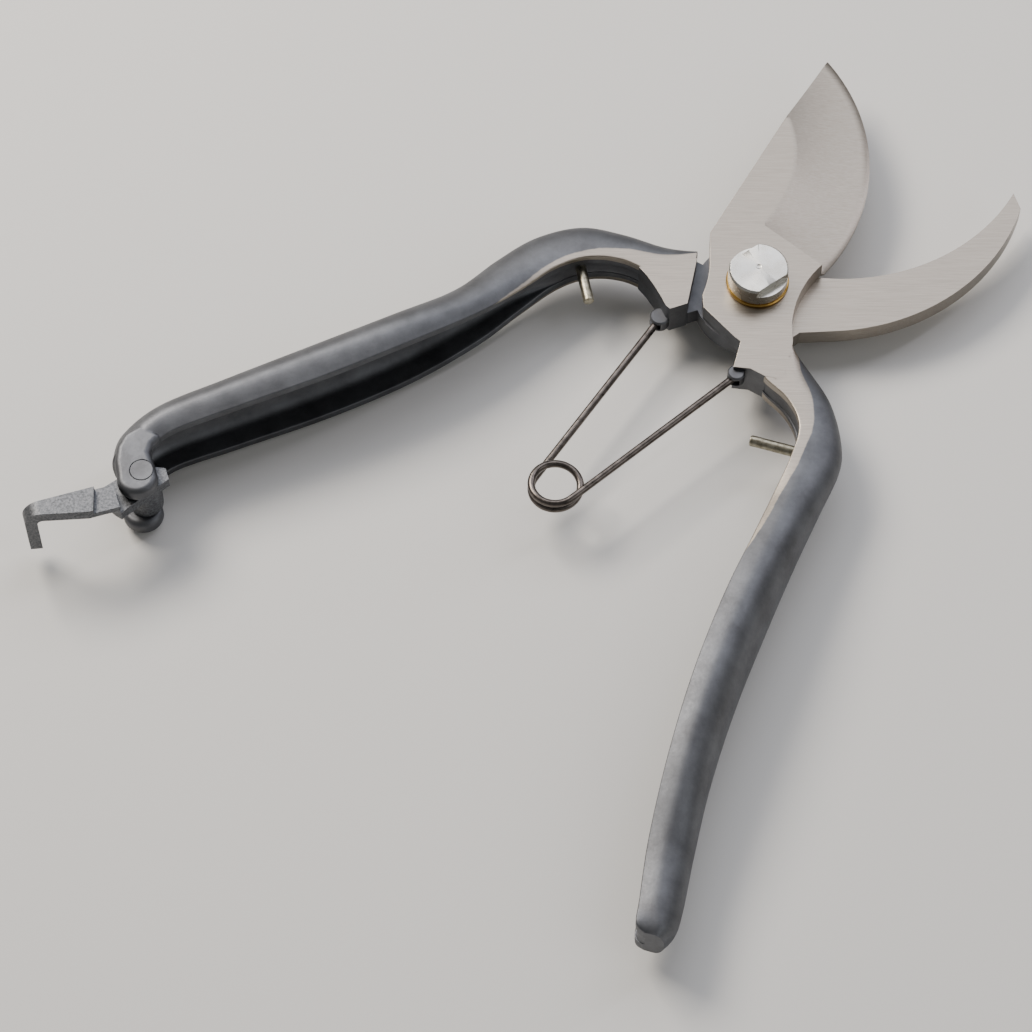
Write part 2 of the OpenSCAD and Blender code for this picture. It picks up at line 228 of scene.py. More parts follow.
def slab(bm, points, low, high):
    """A flat plate: one face, extruded."""
    face = bm.faces.new([bm.verts.new((p[0], p[1], low)) for p in points])
    grown = bmesh.ops.extrude_face_region(bm, geom=[face])["geom"]
    verts = [v for v in grown if isinstance(v, bmesh.types.BMVert)]
    bmesh.ops.translate(bm, verts=verts, vec=(0, 0, high - low))


def turned(bm, profile, at=(0, 0), steps=96):
    """A lathe-turned solid: a profile of (radius, height) pairs, spun about a vertical axis."""
    verts = [bm.verts.new((at[0] + r, at[1], z)) for r, z in profile]
    edges = [bm.edges.new(pair) for pair in zip(verts, verts[1:] + verts[:1])]
    bmesh.ops.spin(bm, geom=verts + edges, cent=(at[0], at[1], 0), axis=(0, 0, 1),
                   angle=2 * pi, steps=steps, use_merge=True)


def turned_about_axis(bm, profile, at=(0, 0), steps=96):
    """As turned, for an open profile whose two ends lie on the axis."""
    verts = [bm.verts.new((at[0] + r, at[1], z)) for r, z in profile]
    edges = [bm.edges.new(pair) for pair in zip(verts, verts[1:])]
    bmesh.ops.spin(bm, geom=verts + edges, cent=(at[0], at[1], 0), axis=(0, 0, 1),
                   angle=2 * pi, steps=steps, use_merge=True)
    bmesh.ops.remove_doubles(bm, verts=bm.verts, dist=1e-4)


def grown_ring(bm, ring, edges):
    """Extrudes a closed ring of edges and returns the new ring in the old one's order."""
    made = bmesh.ops.extrude_edge_only(bm, edges=edges)["geom"]
    fresh = {v for v in made if isinstance(v, bmesh.types.BMVert)}
    after = [next(e.other_vert(v) for e in v.link_edges if e.other_vert(v) in fresh)
             for v in ring]
    return after, [bm.edges.get(pair) for pair in zip(after, after[1:] + after[:1])]


def swept(bm, sections):
    """A skin through a list of sections, each a list of points, closed at both ends."""
    ring = [bm.verts.new(p) for p in sections[0]]
    edges = [bm.edges.new(pair) for pair in zip(ring, ring[1:] + ring[:1])]
    bm.faces.new(ring)
    for section in sections[1:]:
        ring, edges = grown_ring(bm, ring, edges)
        for vert, point in zip(ring, section):
            vert.co = point
    bm.faces.new(ring)


def finished(name, bm, body, nodes, materials, sharp=32):
    """Turns a bmesh drawn in millimetres into a finished piece that rides on a body."""
    bmesh.ops.remove_doubles(bm, verts=bm.verts, dist=1e-4)
    bmesh.ops.recalc_face_normals(bm, faces=bm.faces)
    bmesh.ops.scale(bm, vec=(MM, MM, MM), verts=bm.verts)
    for face in bm.faces:
        face.smooth = True
    for edge in bm.edges:
        edge.smooth = len(edge.link_faces) != 2 or edge.calc_face_angle(0) < radians(sharp)
    mesh = bpy.data.meshes.new(name)
    bm.to_mesh(mesh)
    bm.free()
    piece = bpy.data.objects.new(name, mesh)
    bpy.context.scene.collection.objects.link(piece)
    for material in materials:
        mesh.materials.append(material)
    even = piece.modifiers.new("even shading", "WEIGHTED_NORMAL")
    even.keep_sharp = True
    even.weight = 100
    if body:
        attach(piece, body)
    if nodes:
        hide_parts(*nodes)
    return piece


def cut_away(bm, cutter, operation="DIFFERENCE"):
    """Subtracts one closed bmesh from another, or joins it on, and returns the result."""
    scene = bpy.context.scene
    pair = []
    for name, source in (("kept", bm), ("cutter", cutter)):
        bmesh.ops.recalc_face_normals(source, faces=source.faces)
        mesh = bpy.data.meshes.new(name)
        source.to_mesh(mesh)
        source.free()
        piece = bpy.data.objects.new(name, mesh)
        scene.collection.objects.link(piece)
        pair.append(piece)
    change = pair[0].modifiers.new("cut", "BOOLEAN")
    change.operation = operation
    change.solver = "EXACT"
    change.use_self = True
    change.object = pair[1]
    bpy.context.view_layer.update()
    result = bmesh.new()
    result.from_object(pair[0], bpy.context.evaluated_depsgraph_get())
    for piece in pair:
        mesh = piece.data
        bpy.data.objects.remove(piece)
        bpy.data.meshes.remove(mesh)
    return result


def grown_on(bm, other):
    """Makes one solid of two closed bmeshes."""
    return cut_away(bm, other, "UNION")


def flat_joined(bm):
    """Merges the flat faces that a boolean has split."""
    bmesh.ops.dissolve_limit(bm, angle_limit=radians(0.2), verts=bm.verts, edges=bm.edges,
                             use_dissolve_boundaries=False, delimit=set())


# ---------------------------------------------------------------- handles


def through(rows, t):
    """Smooth curve through the rows of a table, at t from 0 to 1."""
    last = len(rows) - 1
    s = min(t * last, last - 1e-6)
    i = floor(s)
    u = s - i
    a, b, c, d = rows[max(i - 1, 0)], rows[i], rows[i + 1], rows[min(i + 2, last)]
    return [(2 * q + (r - p) * u + (2 * p - 5 * q + 4 * r - w) * u * u
             + (3 * q - p - 3 * r + w) * u ** 3) / 2 for p, q, r, w in zip(a, b, c, d)]


def flank(depth, half, flat, lean, crown=0.0):
    """Half of a U, from the rim with its broken edge, over the ridge, to the bottom. The rim's
    edge is rounded towards the middle where lean is -1 and away from it where lean is 1."""
    curve = [(depth * flat + depth * (1 - flat) * sin(a), half * cos(a))
             for a in (pi / 2 * i / ARC_STEPS for i in range(ARC_STEPS + 1))]
    r = min(RIM_R, depth * flat / 2)
    span = depth * flat - r
    rim = [(r * (1 - cos(a)), half - crown + lean * r * (1 - sin(a)))
           for a in (pi / 2 * i / 4 for i in range(5))]
    line = [(r + span * t, half - crown * (1 - t) ** 1.5) for t in (0.2, 0.4, 0.6, 0.8)]
    return rim + line + curve


def whole_flank(depth, half, flat, lean, crown=0.0):
    side = flank(depth, half, flat, lean, crown)
    return side + [(u, -w) for u, w in side[-2::-1]]


def handle_sections(rows):
    """Every section of a handle and, point by point, how far it lies inside the bright strip."""
    rings = (len(rows) - 1) * RINGS_PER_STATION
    sections, marks = [], []
    for i in range(rings + 1):
        rx, ry, bx, by, half, flat, hollow, bright = through(rows, i / rings)
        depth = hypot(bx - rx, by - ry)
        dx, dy = (bx - rx) / depth, (by - ry) / depth
        hollow = max(hollow, LEAST_HOLLOW)
        outer = whole_flank(depth, half, flat, -1, CROWN * min(1, hollow / 5))
        inner = whole_flank(hollow, half - WALL, 0.5, 1)[::-1]
        sections.append([(rx + dx * u, ry + dy * u, MID + w) for u, w in outer + inner])
        marks.append([bright - u for u, w in outer] + [DARK for point in inner])
    return sections, marks


def handle_skin(rows):
    """A handle as a closed mesh, and what is needed to look up its marks by place."""
    bm = bmesh.new()
    sections, marks = handle_sections(rows)
    swept(bm, sections)
    places = KDTree(sum(len(section) for section in sections))
    values = [value for ring in marks for value in ring]
    for i, point in enumerate(point for section in sections for point in section):
        places.insert(point, i)
    places.balance()
    return bm, places, values


def mark_ground(bm, places, values, dark):
    """Writes on each face corner how many millimetres it lies inside ground steel. A face that
    is wholly on the handle takes its sections' marks, corner by corner. Any other is ground
    unless dark(face) says not; dark(face) picks real fire scale and also ground faces that
    take the dark mark as painted shade."""
    mark = bm.loops.layers.float.new("ground")
    for face in bm.faces:
        found = [places.find(loop.vert.co) for loop in face.loops]
        on_handle = all(gap < 0.05 for point, i, gap in found)
        value = DARK if dark(face) else BRIGHT
        for loop, (point, i, gap) in zip(face.loops, found):
            loop[mark] = values[i] if on_handle else value


def is_top(face):
    """True for the flat faces level with the blade plate's own top."""
    return face.normal.z > 0.6 and abs(face.calc_center_median().z - TOP) < 0.3


def bevelled(bm, width, segments=2, sharp=40):
    """Rounds every sharp edge of a bmesh."""
    bmesh.ops.recalc_face_normals(bm, faces=bm.faces)
    edges = [e for e in bm.edges if e.is_manifold and e.calc_face_angle(0) > radians(sharp)]
    bmesh.ops.bevel(bm, geom=edges, offset=width, offset_type="OFFSET", segments=segments,
                    profile=0.5, affect="EDGES", clamp_overlap=True, material=-1)


# ---------------------------------------------------------------- materials


def linear(colour):
    """An sRGB hex colour as linear RGBA."""
    parts = [int(colour[i:i + 2], 16) / 255 for i in (1, 3, 5)]
    return tuple(c / 12.92 if c <= 0.04045 else ((c + 0.055) / 1.055) ** 2.4
                 for c in parts) + (1.0,)


def add(tree, kind, sockets=None, links=None, **settings):
    """Adds a shader node with its settings, socket values and incoming links."""
    made = tree.nodes.new("ShaderNode" + kind)
    for name, value in settings.items():
        setattr(made, name, value)
    for name, value in (sockets or {}).items():
        made.inputs[name].default_value = value
    for name, source in (links or {}).items():
        tree.links.new(source, made.inputs[name])
    return made


def new_material(name, **shader):
    """A material with one Principled shader, whose constants sit on its own sockets."""
    material = bpy.data.materials.new(name)
    material.use_nodes = True
    tree = material.node_tree
    tree.nodes.clear()
    gloss = add(tree, "BsdfPrincipled", sockets=shader)
    add(tree, "OutputMaterial", links={"Surface": gloss.outputs["BSDF"]})
    return material, tree, gloss


def per_mm(size):
    """Noise scale for features of a real size in millimetres, on metre coordinates."""
    return 1 / mm(size)


def forged_steel(name, brush_turn):
    """Hammer-forged carbon steel: a blue-grey fire scale, soft and slightly pitted, and warm
    bright steel with fine wheel scratches wherever it has been ground."""
    material, tree, gloss = new_material(name, Metallic=1.0)
    place = add(tree, "TexCoord").outputs["Object"]
    mottle = add(tree, "TexNoise", {"Scale": per_mm(6), "Detail": 6.0, "Roughness": 0.62},
                 {"Vector": place}).outputs["Fac"]
    pits = add(tree, "TexNoise", {"Scale": per_mm(0.6), "Detail": 4.0, "Roughness": 0.7},
               {"Vector": place}).outputs["Fac"]
    dents = add(tree, "TexNoise", {"Scale": per_mm(7), "Detail": 1.0},
                {"Vector": place}).outputs["Fac"]
    along = add(tree, "Mapping", {"Rotation": (0, 0, radians(brush_turn)),
                                  "Scale": (0.03, 1.0, 1.0)}, {"Vector": place})
    scratches = add(tree, "TexNoise", {"Scale": per_mm(0.25), "Detail": 6.0, "Roughness": 0.75},
                    {"Vector": along.outputs["Vector"]}).outputs["Fac"]

    # The wheel's edge wanders a little: the mark is a distance in millimetres
    # A DARK mark gives the scale colour, which on ground faces that lie in shadow is painted
    # shade
    mark = add(tree, "Attribute", attribute_name="ground").outputs["Fac"]
    wander = add(tree, "Math", {1: 0.8}, {0: mottle}, operation="MULTIPLY").outputs[0]
    edge = add(tree, "Math", links={0: mark, 1: wander}, operation="ADD").outputs[0]
    ground = add(tree, "MapRange", {"From Min": 0.28, "From Max": 0.52},
                 {"Value": edge}).outputs["Result"]

    scale_colour = add(tree, "ValToRGB", links={"Fac": mottle})
    ramp = scale_colour.color_ramp.elements
    ramp[0].position, ramp[0].color = 0.32, linear(SCALE_DARK)
    ramp[1].position, ramp[1].color = 0.68, linear(SCALE_LIGHT)
    bare_colour = add(tree, "ValToRGB", links={"Fac": scratches})
    ramp = bare_colour.color_ramp.elements
    ramp[0].position, ramp[0].color = 0.30, linear(GROUND_DARK)
    ramp[1].position, ramp[1].color = 0.66, linear(GROUND_LIGHT)
    colour = add(tree, "Mix", links={0: ground, 6: scale_colour.outputs["Color"],
                                     7: bare_colour.outputs["Color"]}, data_type="RGBA")

    scale_rough = add(tree, "MapRange", {"To Min": 0.40, "To Max": 0.62}, {"Value": pits})
    bare_rough = add(tree, "MapRange", {"To Min": 0.26, "To Max": 0.44}, {"Value": scratches})
    rough = add(tree, "Mix", links={0: ground, 2: scale_rough.outputs[0],
                                    3: bare_rough.outputs[0]}, data_type="FLOAT")

    deep = add(tree, "Bump", {"Strength": 0.4, "Distance": mm(0.12)}, {"Height": dents})
    skin = add(tree, "Bump", {"Strength": 0.5, "Distance": mm(0.04)},
               {"Height": pits, "Normal": deep.outputs["Normal"]})
    wheel = add(tree, "Bump", {"Strength": 0.35, "Distance": mm(0.012)}, {"Height": scratches})
    normal = add(tree, "Mix", links={0: ground, 4: skin.outputs["Normal"],
                                     5: wheel.outputs["Normal"]}, data_type="VECTOR")
    tree.links.new(colour.outputs[2], gloss.inputs["Base Color"])
    tree.links.new(rough.outputs[0], gloss.inputs["Roughness"])
    tree.links.new(normal.outputs[1], gloss.inputs["Normal"])
    return material


def turned_steel(name, light, dark, rough, groove):
    """Steel faced on a lathe: bright, with fine rings about its axis that fan the light."""
    material, tree, gloss = new_material(name, Metallic=1.0, Anisotropic=0.75)
    place = add(tree, "TexCoord").outputs["Object"]
    rings = add(tree, "TexWave", {"Scale": 2 * pi / mm(groove) / 20, "Distortion": 0.6,
                                  "Detail": 1.0}, {"Vector": place},
                wave_type="RINGS", rings_direction="Z").outputs["Fac"]
    stain = add(tree, "TexNoise", {"Scale": per_mm(2.5), "Detail": 4.0},
                {"Vector": place}).outputs["Fac"]
    colour = add(tree, "ValToRGB", links={"Fac": stain})
    ramp = colour.color_ramp.elements
    ramp[0].position, ramp[0].color = 0.35, linear(dark)
    ramp[1].position, ramp[1].color = 0.62, linear(light)
    wear = add(tree, "MapRange", {"To Min": rough - 0.05, "To Max": rough + 0.10},
               {"Value": stain})
    cut = add(tree, "Bump", {"Strength": 0.25, "Distance": mm(0.01)}, {"Height": rings})
    grain = add(tree, "Tangent", direction_type="RADIAL", axis="Z")
    tree.links.new(colour.outputs["Color"], gloss.inputs["Base Color"])
    tree.links.new(wear.outputs[0], gloss.inputs["Roughness"])
    tree.links.new(cut.outputs["Normal"], gloss.inputs["Normal"])
    tree.links.new(grain.outputs["Tangent"], gloss.inputs["Tangent"])
    return material


def drawn_steel(name, light, dark, rough, grain):
    """Drawn spring wire or pin steel: smooth, a little oily, with faint blotches of oxide."""
    material, tree, gloss = new_material(name, Metallic=1.0)
    place = add(tree, "TexCoord").outputs["Object"]
    blotch = add(tree, "TexNoise", {"Scale": per_mm(grain), "Detail": 5.0, "Roughness": 0.6},
                 {"Vector": place}).outputs["Fac"]
    colour = add(tree, "ValToRGB", links={"Fac": blotch})
    ramp = colour.color_ramp.elements
    ramp[0].position, ramp[0].color = 0.36, linear(dark)
    ramp[1].position, ramp[1].color = 0.64, linear(light)
    wear = add(tree, "MapRange", {"To Min": rough - 0.06, "To Max": rough + 0.12},
               {"Value": blotch})
    skin = add(tree, "Bump", {"Strength": 0.3, "Distance": mm(0.01)}, {"Height": blotch})
    tree.links.new(colour.outputs["Color"], gloss.inputs["Base Color"])
    tree.links.new(wear.outputs[0], gloss.inputs["Roughness"])
    tree.links.new(skin.outputs["Normal"], gloss.inputs["Normal"])
    return material


def cast_iron(name):
    """Sand-cast iron, blackened and handled: the mould's fine grain stands up and catches the
    light as a speckle."""
    material, tree, gloss = new_material(name, Metallic=1.0)
    place = add(tree, "TexCoord").outputs["Object"]
    sand = add(tree, "TexNoise", {"Scale": per_mm(0.45), "Detail": 4.0, "Roughness": 0.65},
               {"Vector": place}).outputs["Fac"]
    colour = add(tree, "ValToRGB", links={"Fac": sand})
    ramp = colour.color_ramp.elements
    ramp[0].position, ramp[0].color = 0.34, linear("#46484b")
    ramp[1].position, ramp[1].color = 0.66, linear("#77797d")
    wear = add(tree, "MapRange", {"To Min": 0.40, "To Max": 0.62}, {"Value": sand})
    skin = add(tree, "Bump", {"Strength": 0.6, "Distance": mm(0.07)}, {"Height": sand})
    tree.links.new(colour.outputs["Color"], gloss.inputs["Base Color"])
    tree.links.new(wear.outputs[0], gloss.inputs["Roughness"])
    tree.links.new(skin.outputs["Normal"], gloss.inputs["Normal"])
    return material


def painted_board(name, colour):
    """A plain matt board to lie the tool on."""
    material, tree, gloss = new_material(name, Roughness=0.85)
    gloss.inputs["Base Color"].default_value = linear(colour)
    return material


SCALE_DARK = "#58595c"
SCALE_LIGHT = "#6b6d71"
GROUND_DARK = "#8b8379"
GROUND_LIGHT = "#a39b90"

blade_forging = forged_steel("forged_steel_blade_side", 60)
counter_forging = forged_steel("forged_steel_counter_side", -20)
lathe_steel = turned_steel("lathe_faced_steel", "#d6d4cd", "#c4c0b7", 0.25, 0.22)
lathe_brass = turned_steel("rolled_brass", "#d8b267", "#a5813f", 0.28, 0.3)
zinc_steel = turned_steel("bright_zinc_steel", "#b9b8b4", "#94928c", 0.32, 0.3)
spring_steel = drawn_steel("drawn_spring_steel", "#6e6762", "#4f4a46", 0.27, 1.6)
pin_steel = drawn_steel("drawn_pin_steel", "#a9a493", "#7b7666", 0.34, 0.9)
sand_cast = cast_iron("blackened_cast_iron")

# ---------------------------------------------------------------- the blade arm


def bevel_cutter():
    """What the grinding wheel takes off: a hollow cone about the cutting edge's own centre,
    with a steeper honed bevel at the edge itself."""
    centre = centre_of(BLADE_TIP, BLADE_BELLY, BLADE_HEEL)
    edge_r = (BLADE_TIP - centre).length
    ground_w = BEVEL_W - HONED_W
    fall = BLADE_T - EDGE_T - HONED_DROP
    slope = [(edge_r - BEVEL_W + ground_w * t, TOP - fall * t - 4 * HOLLOW * t * (1 - t))
             for t in (i / ARC_STEPS for i in range(ARC_STEPS + 1))]
    bm = bmesh.new()
    honed = (edge_r + HONED_W, TOP - fall - 2 * HONED_DROP)
    profile = slope + [honed, (edge_r + HONED_W, TOP + 1), (edge_r - BEVEL_W, TOP + 1)]
    turned(bm, profile, centre, 360)
    face = bmesh.new()
    slab(face, [Vector(p) for p in GROUND_FACE], MID, TOP + 2)
    return cut_away(bm, face, "INTERSECT")


def seat_lug(at, r, low, high, socket_r, socket_z, mouth_turn):
    """A boss that a spring end sits in, with a flared mouth that leaves the wire room."""
    bm = bmesh.new()
    turned_about_axis(bm, [(0, low), (r - 0.3, low), (r, low + 0.3), (r, high - 0.3),
                           (r - 0.3, high), (0, high)], at, 48)
    socket = bmesh.new()
    half = WIRE_R + 0.1
    mouth, flare = 6, 2.796
    side = Matrix.Rotation(radians(mouth_turn), 2)
    wedge = [(0, -socket_r), (mouth, -socket_r - flare), (mouth, socket_r + flare),
             (0, socket_r)]
    round_end = [(socket_r * cos(a), socket_r * sin(a))
                 for a in (radians(90 + 180 * i / 12) for i in range(1, 12))]
    outline = [Vector(at).to_2d() + side @ Vector(p) for p in wedge + round_end]
    slab(socket, outline, socket_z - half, socket_z + half)
    return cut_away(bm, socket)


def make_blade_arm():
    bm = bmesh.new()
    slab(bm, blade_outline(), MID, TOP)
    block = bmesh.new()
    slab(block, blade_root_outline(), MID - BLADE_T, TOP)
    bm = grown_on(bm, block)
    flat_joined(bm)
    bevelled(bm, 0.2, 2)
    bm = cut_away(bm, bevel_cutter())
    skin, places, values = handle_skin(BLADE_HANDLE)
    bm = grown_on(bm, skin)
    lug = seat_lug((SEAT.x, SEAT.y), 1.75, MID + 0.1, MID + 3.0, WIRE_R + 0.1,
                   MID + LEG_LIFT, 240)
    bm = grown_on(bm, lug)
    # Below the pivot, faces other than the top take the dark mark: real scale on the forged lug,
    # painted shade on the ground walls of the plate and root that lie in shadow
    mark_ground(bm, places, values,
                lambda face: face.calc_center_median().y < -8 and not is_top(face))
    return finished("blade_arm_forging", bm, "blade_side", ["blade_arm"],
                    [blade_forging])


def catch_ear(low):
    """One of the two ears that carry the catch rivet, a rounded end of the handle's wall."""
    bm = bmesh.new()
    lobe = [EAR_AT + EAR_R * Vector((cos(a), sin(a)))
            for a in (radians(180 + 180 * i / 24) for i in range(25))]
    neck = [(-118.0, -44.6), (-118.9, -42.0), (-118.4, -40.2), (-116.6, -38.2),
            (-121.0, -35.4), (-124.3, -37.8), (-125.6, -40.8), (-125.8, -44.0)]
    slab(bm, lobe + [Vector(p) for p in neck], low, low + EAR_TOP - EAR_IN)
    bevelled(bm, 1.3, 6, 60)
    return bm


def pin_shape(room=0.0):
    """The catch rivet: both ends are peened flush into countersinks, with a fine line round
    each. With room it's the cutter for its own hole."""
    shank, peen = 1.6 + room, 0.8
    low, high = rivet_low.z - room, rivet_high.z + room
    line = 0.12 if not room else 0
    end = [(shank, peen + room), (shank + peen - line, line), (shank + peen - 2 * line, 0)]
    bm = bmesh.new()
    turned_about_axis(bm, [(0, low)] + [(r, low + z) for r, z in end[::-1]]
                      + [(r, high - z) for r, z in end] + [(0, high)], (CATCH.x, CATCH.y), 48)
    return bm


def make_counter_arm():
    high = MID - SLIDE
    bm = bmesh.new()
    turned_about_axis(bm, [(0, UNDER), (12.6, UNDER), (12.6, high), (0, high)], (0, 0), 120)
    for outline, low, top in ((hook_outline(), UNDER, high),
                              (counter_root_outline(), MID - BLADE_T, TOP),
                              ([Vector((0, 0))] + pivot_arc(15.2, 147, 199), UNDER, high)):
        part = bmesh.new()
        slab(part, outline, low, top)
        bm = grown_on(bm, part)
    flat_joined(bm)
    # The ground hook, and the hub part under the blade plate that takes the dark mark as painted
    # shade
    bmesh.ops.bisect_plane(bm, geom=list(bm.verts) + list(bm.edges) + list(bm.faces),
                           dist=1e-5, plane_co=(6, 0, 0), plane_no=(1, 0, 0))
    bevelled(bm, 0.2, 2)
    skin, places, values = handle_skin(COUNTER_HANDLE)
    bm = grown_on(bm, skin)
    lug = seat_lug(COUNTER_SEAT, 2.0, MID - 3.0, MID - 0.1, WIRE_R + 0.45, MID - LEG_LIFT, 216)
    bm = grown_on(bm, lug)
    for low in (MID + EAR_IN, MID - EAR_TOP):
        bm = grown_on(bm, catch_ear(low))
    bm = cut_away(bm, pin_shape(0.03))
    # Left of the hook, faces other than the root's top take the dark mark: real scale on the
    # ears and the lug, painted shade on the ground hub and web that lie in shadow
    mark_ground(bm, places, values,
                lambda face: face.calc_center_median().x < 6.5 and not is_top(face))
    return finished("counter_arm_forging", bm, "counter_side", ["counter_arm"],
                    [counter_forging])


# ---------------------------------------------------------------- pivot hardware


def make_bolt():
    """A turned head, slightly dished, with two flats milled on it that stop above its base."""
    flats_z, top, chamfer, dish = 2.6, bolt_high.z, 0.35, 0.45
    base = washer_high.z
    bm = bmesh.new()
    turned_about_axis(bm, [(0, bolt_low.z), (SHANK_R - 0.5, bolt_low.z),
                           (SHANK_R, bolt_low.z + 0.5), (SHANK_R, base), (HEAD_R - 0.2, base),
                           (HEAD_R, base + 0.2), (HEAD_R, top - dish - chamfer),
                           (HEAD_R - chamfer, top - dish), (0.9, top), (0.5, top - 0.05),
                           (0, top - 0.3)], (0, 0), 128)
    flats = bmesh.new()
    for side in (-1, 1):
        corners = [(-9, side * 4.5), (9, side * 4.5), (9, side * 9), (-9, side * 9)]
        slab(flats, [Vector(p) for p in corners], base + flats_z, top + 1)
    bmesh.ops.rotate(flats, verts=flats.verts, cent=(0, 0, 0),
                     matrix=Matrix.Rotation(radians(36), 3, "Z"))
    bm = cut_away(bm, flats)
    bevelled(bm, 0.12, 2, 30)
    return finished("pivot_bolt_turned", bm, "blade_side", ["pivot_bolt"],
                    [lathe_steel])


def make_washer(name, low, high, bore, material, cad_node):
    outer = (high.x - low.x) / 2
    soft = min(0.15, (high.z - low.z) / 4)
    bm = bmesh.new()
    turned(bm, [(bore, low.z), (outer - soft, low.z), (outer, low.z + soft),
                (outer, high.z - soft), (outer - soft, high.z), (bore, high.z)], (0, 0), 96)
    return finished(name, bm, "blade_side", [cad_node], [material])


def make_nut():
    """A hexagon nut, its outer corners and its bore's mouth chamfered."""
    flat_r = min(nut_high.x - nut_low.x, nut_high.y - nut_low.y) / 2
    corner_r, sink, near_axis = flat_r / cos(pi / 6), 0.7, 0.001
    bm = bmesh.new()
    slab(bm, [corner_r * Vector((cos(a), sin(a)))
              for a in (radians(30 + 60 * i) for i in range(6))], 0, nut_high.z)
    bevelled(bm, 0.1, 1)
    cutter = bmesh.new()
    turned(cutter, [(flat_r - 0.1, -1), (flat_r - 0.1, 0), (corner_r + 1, 1.0),
                    (corner_r + 1, -1)])
    turned(cutter, [(near_axis, -1), (SHANK_R + sink, -1), (SHANK_R + sink, 0),
                    (SHANK_R, sink), (SHANK_R, nut_high.z + 1), (near_axis, nut_high.z + 1)])
    bm = cut_away(bm, cutter)
    return finished("pivot_nut_hex", bm, "blade_side", ["pivot_nut"], [zinc_steel])


# ---------------------------------------------------------------- spring, pins and catch


def leg_turn(seat, hand):
    """Bearing of a wire leg, from its seat to its tangent of the coil, in radians."""
    gap = Vector((COIL.x, COIL.y)) - seat
    return bearing(gap) + hand * asin(COIL_R / gap.length)


def spring_path():
    """The wire's middle line from the upper seat, round the coil and out to the lower seat."""
    upper_seat = Vector((SEAT.x, SEAT.y))
    upper, lower = leg_turn(upper_seat, 1), leg_turn(COUNTER_SEAT, -1)
    start = degrees(upper) + 90
    stop = degrees(lower) - 90
    whole = COIL_TURN - degrees(turn_to(radians(start - COIL_TURN), radians(stop)))
    coil = []
    steps, leg_steps = 110, 16
    for i in range(steps + 1):
        a = radians(start - whole * i / steps)
        coil.append(Vector((COIL.x + COIL_R * cos(a), COIL.y + COIL_R * sin(a),
                            MID + LEG_LIFT * (1 - 2 * i / steps))))
    head = Vector((upper_seat.x, upper_seat.y, MID + LEG_LIFT))
    tail = Vector((COUNTER_SEAT.x, COUNTER_SEAT.y, MID - LEG_LIFT))
    run_in = [head.lerp(coil[0], i / leg_steps) for i in range(leg_steps)]
    run_out = [coil[-1].lerp(tail, i / leg_steps) for i in range(1, leg_steps + 1)]
    return run_in + coil + run_out


def make_spring():
    path = spring_path()
    sections = []
    sides = 16
    for i, point in enumerate(path):
        ahead = (path[min(i + 1, len(path) - 1)] - path[max(i - 1, 0)]).normalized()
        out = ahead.cross(Vector((0, 0, 1))).normalized()
        up = out.cross(ahead)
        sections.append([point + WIRE_R * (out * cos(a) + up * sin(a))
                         for a in (2 * pi * k / sides for k in range(sides))])
    bm = bmesh.new()
    swept(bm, sections)
    piece = finished("return_spring_wire", bm, None,
                     ["spring_leg_blade", "spring_leg_counter"], [spring_steel], sharp=60)
    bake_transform(piece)
    return piece


def make_guard_pin(name, cad_node, body, tip_x, tip_y, turn):
    """A short drawn pin with a rounded, slightly burred tip."""
    low, high = node_box(cad_node)
    r, length, tip = (high.z - low.z) / 2, 11.6, 0.35
    bm = bmesh.new()
    turned_about_axis(bm, [(0, 0), (r - tip, 0), (r - 0.1, 0.1), (r, tip), (r, length),
                           (0, length)], (0, 0), 40)
    bmesh.ops.rotate(bm, verts=bm.verts, cent=(0, 0, 0), matrix=Matrix.Rotation(pi / 2, 3, "Y"))
    bmesh.ops.rotate(bm, verts=bm.verts, cent=(0, 0, 0),
                     matrix=Matrix.Rotation(radians(turn), 3, "Z"))
    bmesh.ops.translate(bm, verts=bm.verts, vec=(tip_x, tip_y, MID))
    return finished(name, bm, body, [cad_node], [pin_steel])


